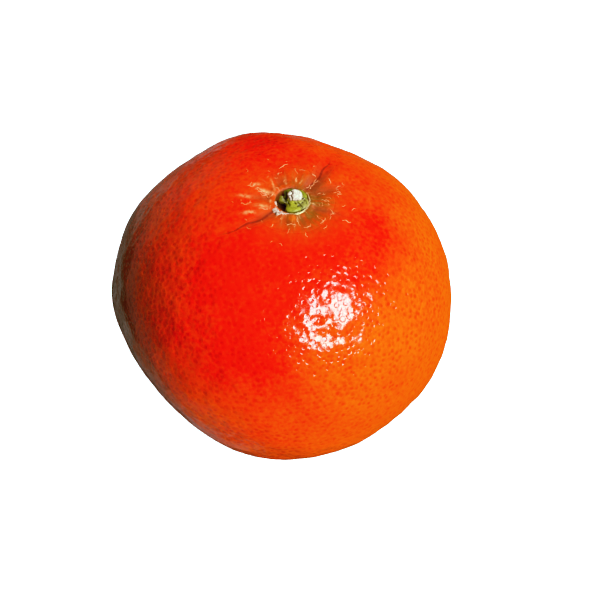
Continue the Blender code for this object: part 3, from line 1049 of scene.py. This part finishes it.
def peel_material():
    nodes = new_material("peel_finish")
    red = nodes.attribute("red")
    stem = nodes.attribute("stem")
    fold = nodes.attribute("fold")
    broad = nodes.noise(8.0 * MM, 3.0)
    ripeness_and_fold_shade = nodes.maths("ADD", red, nodes.between(broad, 0.3, 0.7, -0.15, 0.15))
    ripeness_and_fold_shade = nodes.times(ripeness_and_fold_shade, nodes.between(stem, 4.0, 10.0, 0.35, 1.0))
    # Painted shade: the peel is made redder and darker in the folds
    ripeness_and_fold_shade = nodes.maths("ADD", ripeness_and_fold_shade, nodes.between(fold, 0.2, 1.2, 0.0, 0.3), clamp=True)
    mottle = nodes.noise(0.9 * MM, 4.0, 0.65)
    ripeness_and_fold_shade = nodes.maths("ADD", ripeness_and_fold_shade, nodes.between(mottle, 0.35, 0.65, 0.15, -0.1), clamp=True)
    colour = nodes.ramp(ripeness_and_fold_shade, RIPENESS)
    streaks = nodes.noise(RAY_SIZE, 4.0, 0.65, nodes.attribute("rays", "Vector"))
    colour = nodes.mix(nodes.between(stem, 3.6, 9.0, 0.85, 0.0), colour, STEM_TINT, "MULTIPLY")
    olive = nodes.attribute("olive")
    olive = nodes.times(olive, nodes.between(streaks, 0.35, 0.6, 0.75, 1.15), clamp=True)
    colour = nodes.mix(olive, colour, OLIVE)
    broken = nodes.noise(0.7 * MM, 3.0, 0.6)
    pale = nodes.times(nodes.between(streaks, 0.55, 0.72), nodes.between(stem, 4.0, 9.0, 0.55, 0.0))
    patches = nodes.times(nodes.attribute("pale"), nodes.between(broken, 0.35, 0.6), 0.75)
    pale = nodes.maths("MAXIMUM", pale, patches)
    colour = nodes.mix(pale, colour, PALE_STREAK)
    # Painted shade: a dark red laid into the folds near the button
    fold_shade = nodes.times(nodes.between(fold, 0.12, 0.55), nodes.between(stem, 6.0, 18.0, 0.7, 0.0))
    colour = nodes.mix(fold_shade, colour, FOLD_SHADE)
    for value, start, end, low, high, tint in (
        (nodes.attribute("blister"), 0.3, 0.8, 0.0, 0.8, BLISTER_TINT),
        # painted shade: the dark line along each pucker's floor
        (nodes.attribute("crease"), 0.2, 0.75, 0.0, 0.8, CREASE_SHADE),
        # painted shade: the hollow's wall and floor are darkened
        (stem, 3.4, 3.6, 1.0, 0.0, HOLLOW_SIDE_SHADE),
        (stem, 2.7, 3.3, 1.0, 0.0, HOLLOW_FLOOR_SHADE),
    ):
        colour = nodes.mix(nodes.between(value, start, end, low, high), colour, tint)

    gland = nodes.add("VectorMath", {"Vector": nodes.attribute("gland", "Vector")}, operation="LENGTH")
    apart = gland.outputs["Value"]
    strength = nodes.attribute("strength")
    spot = nodes.times(
        nodes.between(apart, 0.2, 0.95, 1.0, 0.0),
        nodes.between(stem, 6.0, 16.0, 0.15, 1.0),
        nodes.between(strength, 0.3, 1.0, 0.75, 1.0),
    )
    colour = nodes.mix(spot, colour, GLAND_TINT, "MULTIPLY")
    colour = nodes.mix(nodes.between(mottle, 0.5, 0.68, 0.0, 0.35), colour, LIGHT_MOTTLE, "MULTIPLY")
    colour = nodes.mix(nodes.between(mottle, 0.5, 0.32, 0.0, 0.35), colour, DARK_MOTTLE, "MULTIPLY")

    depth = nodes.times(nodes.ramp(apart, PIT_PROFILE, "EASE"), strength)
    normal = nodes.bump(nodes.maths("SUBTRACT", 1.0, depth), 0.045 * MM)
    normal = nodes.bump(nodes.noise(1.2 * MM, 1.0), 0.022 * MM, 1.0, normal)
    wrinkles = nodes.times(streaks, nodes.between(stem, 5.0, 12.0, 1.0, 0.0))
    normal = nodes.bump(wrinkles, 0.12 * MM, 0.8, normal)
    rough = nodes.between(stem, 4.0, 12.0, 0.5, 0.14)
    rough = nodes.maths("MAXIMUM", rough, nodes.between(fold, 0.1, 0.5, 0.0, 0.35))
    return finish(nodes, colour, normal, rough, IOR=1.5)


def button_material():
    nodes = new_material("button_finish")
    tone = nodes.attribute("tone", "Color")
    painted_shade = nodes.attribute("painted_shade")
    patch = nodes.noise(0.9 * MM, 3.0)
    speck = nodes.noise(0.22 * MM, 3.0, 0.6)
    colour = nodes.mix(nodes.between(patch, 0.35, 0.7, 0.0, 0.5), tone, BUTTON_PATCH)
    colour = nodes.mix(nodes.between(speck, 0.5, 0.62, 0.0, 0.5), colour, BUTTON_SPECK)
    # Painted shade from the button's grooves, crevice, cracks, pit and underside
    shade = nodes.times(painted_shade, nodes.between(speck, 0.3, 0.6, 1.15, 0.75), clamp=True)
    colour = nodes.mix(shade, colour, BUTTON_SHADE)
    normal = nodes.bump(nodes.noise(0.4 * MM, 4.0, 0.6), 0.08 * MM, 0.8)
    return finish(nodes, colour, normal, nodes.between(patch, 0.3, 0.7, 0.38, 0.6))


def stalk_material():
    nodes = new_material("stalk_end_finish")
    crack = nodes.attribute("crack")
    grain = nodes.noise(0.3 * MM, 4.0, 0.65)
    colour = nodes.ramp(grain, STALK_GRAIN)
    # Painted shade: the cracks are darkened
    colour = nodes.mix(nodes.between(crack, 0.15, 0.7), colour, STALK_CRACK_SHADE)
    normal = nodes.bump(nodes.noise(0.25 * MM, 4.0, 0.6), 0.08 * MM)
    return finish(nodes, colour, normal, 0.85)


def cork_material(name, low, high):
    """Dry pale tissue, mottled between two colours."""
    nodes = new_material(name)
    grain = nodes.noise(0.35 * MM, 4.0, 0.6)
    colour = nodes.ramp(grain, ((0.35, low), (0.65, high)))
    normal = nodes.bump(nodes.noise(0.2 * MM, 4.0, 0.6), 0.06 * MM)
    return finish(nodes, colour, normal, nodes.between(grain, 0.3, 0.7, 0.5, 0.75))


def add_camera(core):
    """Looks at the fruit as the photograph does."""
    up = math.radians(CAMERA_ELEVATION)
    towards = Vector((0.0, -math.cos(up), math.sin(up)))
    upward = Vector((0.0, math.sin(up), math.cos(up)))
    aside = (PHOTO_SIZE / 2.0 - PHOTO_MIDDLE[0]) / PHOTO_SCALE * MM
    above = (PHOTO_MIDDLE[1] - PHOTO_SIZE / 2.0) / PHOTO_SCALE * MM
    aim = Vector(core) + Vector((aside, 0.0, 0.0)) + upward * above
    camera = link("camera", bpy.data.cameras.new("camera"))
    camera.location = aim + towards * CAMERA_DISTANCE
    camera.rotation_euler = towards.to_track_quat("Z", "Y").to_euler()
    camera.data.sensor_width = SENSOR
    camera.data.lens = SENSOR * CAMERA_DISTANCE / MM * PHOTO_SCALE / PHOTO_SIZE
    bpy.context.scene.camera = camera


def add_soft_light(name, azimuth, elevation, distance, size, power, mirrored=True):
    """A softbox that faces the fruit's middle; its image shows in the gloss only where mirrored."""
    data = bpy.data.lights.new(name, "AREA")
    data.shape = "RECTANGLE"
    data.size, data.size_y = size
    data.energy = power
    lamp = link(name, data)
    towards = Vector(direction(azimuth, elevation))
    lamp.location = Vector((0.0, 0.0, CORE_HEIGHT)) + towards * distance
    lamp.rotation_euler = towards.to_track_quat("Z", "Y").to_euler()
    lamp.visible_glossy = mirrored
    data.cycles.use_multiple_importance_sampling = mirrored
    return lamp


def add_studio():
    """Surroundings that the gloss shows, banded on the left and warm on the right, white for the camera."""
    world = bpy.data.worlds.new("studio")
    bpy.context.scene.world = world
    world.cycles_visibility.diffuse = False
    nodes = Nodes(world)
    heading = nodes.add("TexCoord").outputs["Generated"]

    def along(place, stretch=1.0):
        aim = nodes.add("VectorMath", operation="DOT_PRODUCT")
        aim.inputs[1].default_value = Vector(place).normalized() * stretch
        nodes.feed(aim.inputs[0], heading)
        return aim.outputs["Value"]

    def towards(place, start, end, low=0.0, high=1.0):
        """Goes from low to high between two cosines of the angle from a direction."""
        return nodes.between(along(place), start, end, low, high)

    low_band = nodes.times(towards(BEHIND, 0.63, 0.76), towards(UPWARD, -0.05, -0.3))
    band = nodes.maths("MAXIMUM", towards(BEHIND, 0.70, 0.84), low_band)
    band = nodes.times(band, towards(BEHIND, 0.97, 0.92), towards(LEFT, 0.05, 0.2))
    veil = nodes.times(towards(BEHIND, 0.15, 0.4), towards(BEHIND, 0.68, 0.55), towards(LEFT, 0.1, 0.5))
    edge = nodes.times(towards(BEHIND, 0.93, 0.97), towards(UPWARD, 0.04, 0.18))
    grain = nodes.add("CombineXYZ")
    for socket, (place, stretch) in zip(grain.inputs, STREAK_STRETCH):
        nodes.feed(socket, along(place, stretch))
    ripple = nodes.noise(1.0, 3.0, 0.5, grain.outputs["Vector"])
    tones = ((0.40, GAP), (0.50, BAND), (0.62, STREAKS))
    streaks = nodes.ramp(ripple, tones)
    warm = nodes.times(towards(BEHIND, 0.3, 0.8), towards(RIGHT, -0.05, 0.25))
    colour = nodes.mix(veil, DIM, VEIL)
    colour = nodes.mix(edge, colour, EDGE)
    streaks = nodes.mix(1.0, streaks, towards(BEHIND, 0.7, 0.88, 1.5, 1.0), "MULTIPLY")
    high = nodes.times(towards(BEHIND, 0.66, 0.8), towards(UPWARD, 0.1, 0.3), towards(LEFT, 0.3, 0.5))
    faint = nodes.mix(1.0, streaks, HIGH_GAIN, "MULTIPLY")
    colour = nodes.mix(high, colour, faint)
    colour = nodes.mix(band, colour, streaks)
    colour = nodes.mix(warm, colour, WARM)
    colour = nodes.mix(nodes.add("LightPath").outputs["Is Camera Ray"], colour, BACKDROP)
    nodes.feed(nodes.tree.nodes["Background"].inputs["Color"], colour)


def add_floor():
    """A plain floor that glows as white as the backdrop."""
    bpy.ops.mesh.primitive_plane_add(size=FLOOR_SIZE, location=(0.0, 0.0, 0.0))
    floor = bpy.context.object
    floor.name = "floor"
    nodes = new_material("floor_white")
    glow = {"Emission Color": FLOOR_GLOW, "Emission Strength": FLOOR_STRENGTH, "Specular IOR Level": 0.0}
    floor.data.materials.append(finish(nodes, FLOOR_COLOUR, None, 0.9, **glow))
    floor.visible_diffuse = False
    floor.visible_glossy = False
    floor.visible_shadow = False


def dress(piece, material, node=None):
    """Gives a piece its material and its place in the frame."""
    piece.data.materials.append(material)
    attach(piece, "root")
    if node is not None:
        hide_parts(node)


def add_lights():
    key = add_soft_light(*KEY_LIGHT)
    key.rotation_euler.rotate_axis("Z", math.radians(KEY_TURN))
    for light in FILL_LIGHTS:
        add_soft_light(*light, mirrored=False)


def set_view():
    view = bpy.context.scene.view_settings
    view.view_transform = "Standard"
    view.use_curve_mapping = True
    curves = view.curve_mapping
    curves.black_level = BLACK_LEVEL
    curves.white_level = WHITE_LEVEL
    for curve, line in ((curves.curves[0], REDS), (curves.curves[2], BLUES)):
        curve.points[0].location, curve.points[-1].location = line[0], line[-1]
        for place in line[1:-1]:
            curve.points.new(*place)
    curves.update()


def main():
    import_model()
    low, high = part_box("fruit")
    core = Vector(((low[0] + high[0]) / 2.0, (low[1] + high[1]) / 2.0, low[2] + CORE_HEIGHT))

    stem = core + Vector((STEM_X, STEM_Y, HALF_HEIGHT))
    peel = make_peel()
    dress(peel, peel_material(), "fruit")
    ground = bvhtree.BVHTree.FromObject(peel, bpy.context.evaluated_depsgraph_get())
    button_place = Vector((stem.x + BUTTON_OFFSET, stem.y + BUTTON_OFFSET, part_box("calyx")[0][2]))
    button = make_button(button_place)
    dress(button, button_material(), "calyx")
    button_top = bvhtree.BVHTree.FromObject(button, bpy.context.evaluated_depsgraph_get())
    fibres = make_threads("button_fibres", [(line, FIBRE_RADIUS) for line in FIBRES], button_top, stem)
    dress(fibres, cork_material("fibre_finish", *FIBRE_TONES))
    low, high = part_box("stem_stub")
    dress(make_stub(Vector(low), Vector(high)), stalk_material(), "stem_stub")
    dress(make_marks(ground, stem), cork_material("cork_finish", *CORK_TONES))
    rims = make_threads("hollow_rims", rim_lines(), ground, stem)
    dress(rims, cork_material("rim_finish", *RIM_TONES))
    dress(make_scar_tissue(ground, stem), cork_material("scar_finish", *SCAR_TONES))

    add_floor()
    add_camera(core)
    add_lights()
    add_studio()
    set_view()


main()
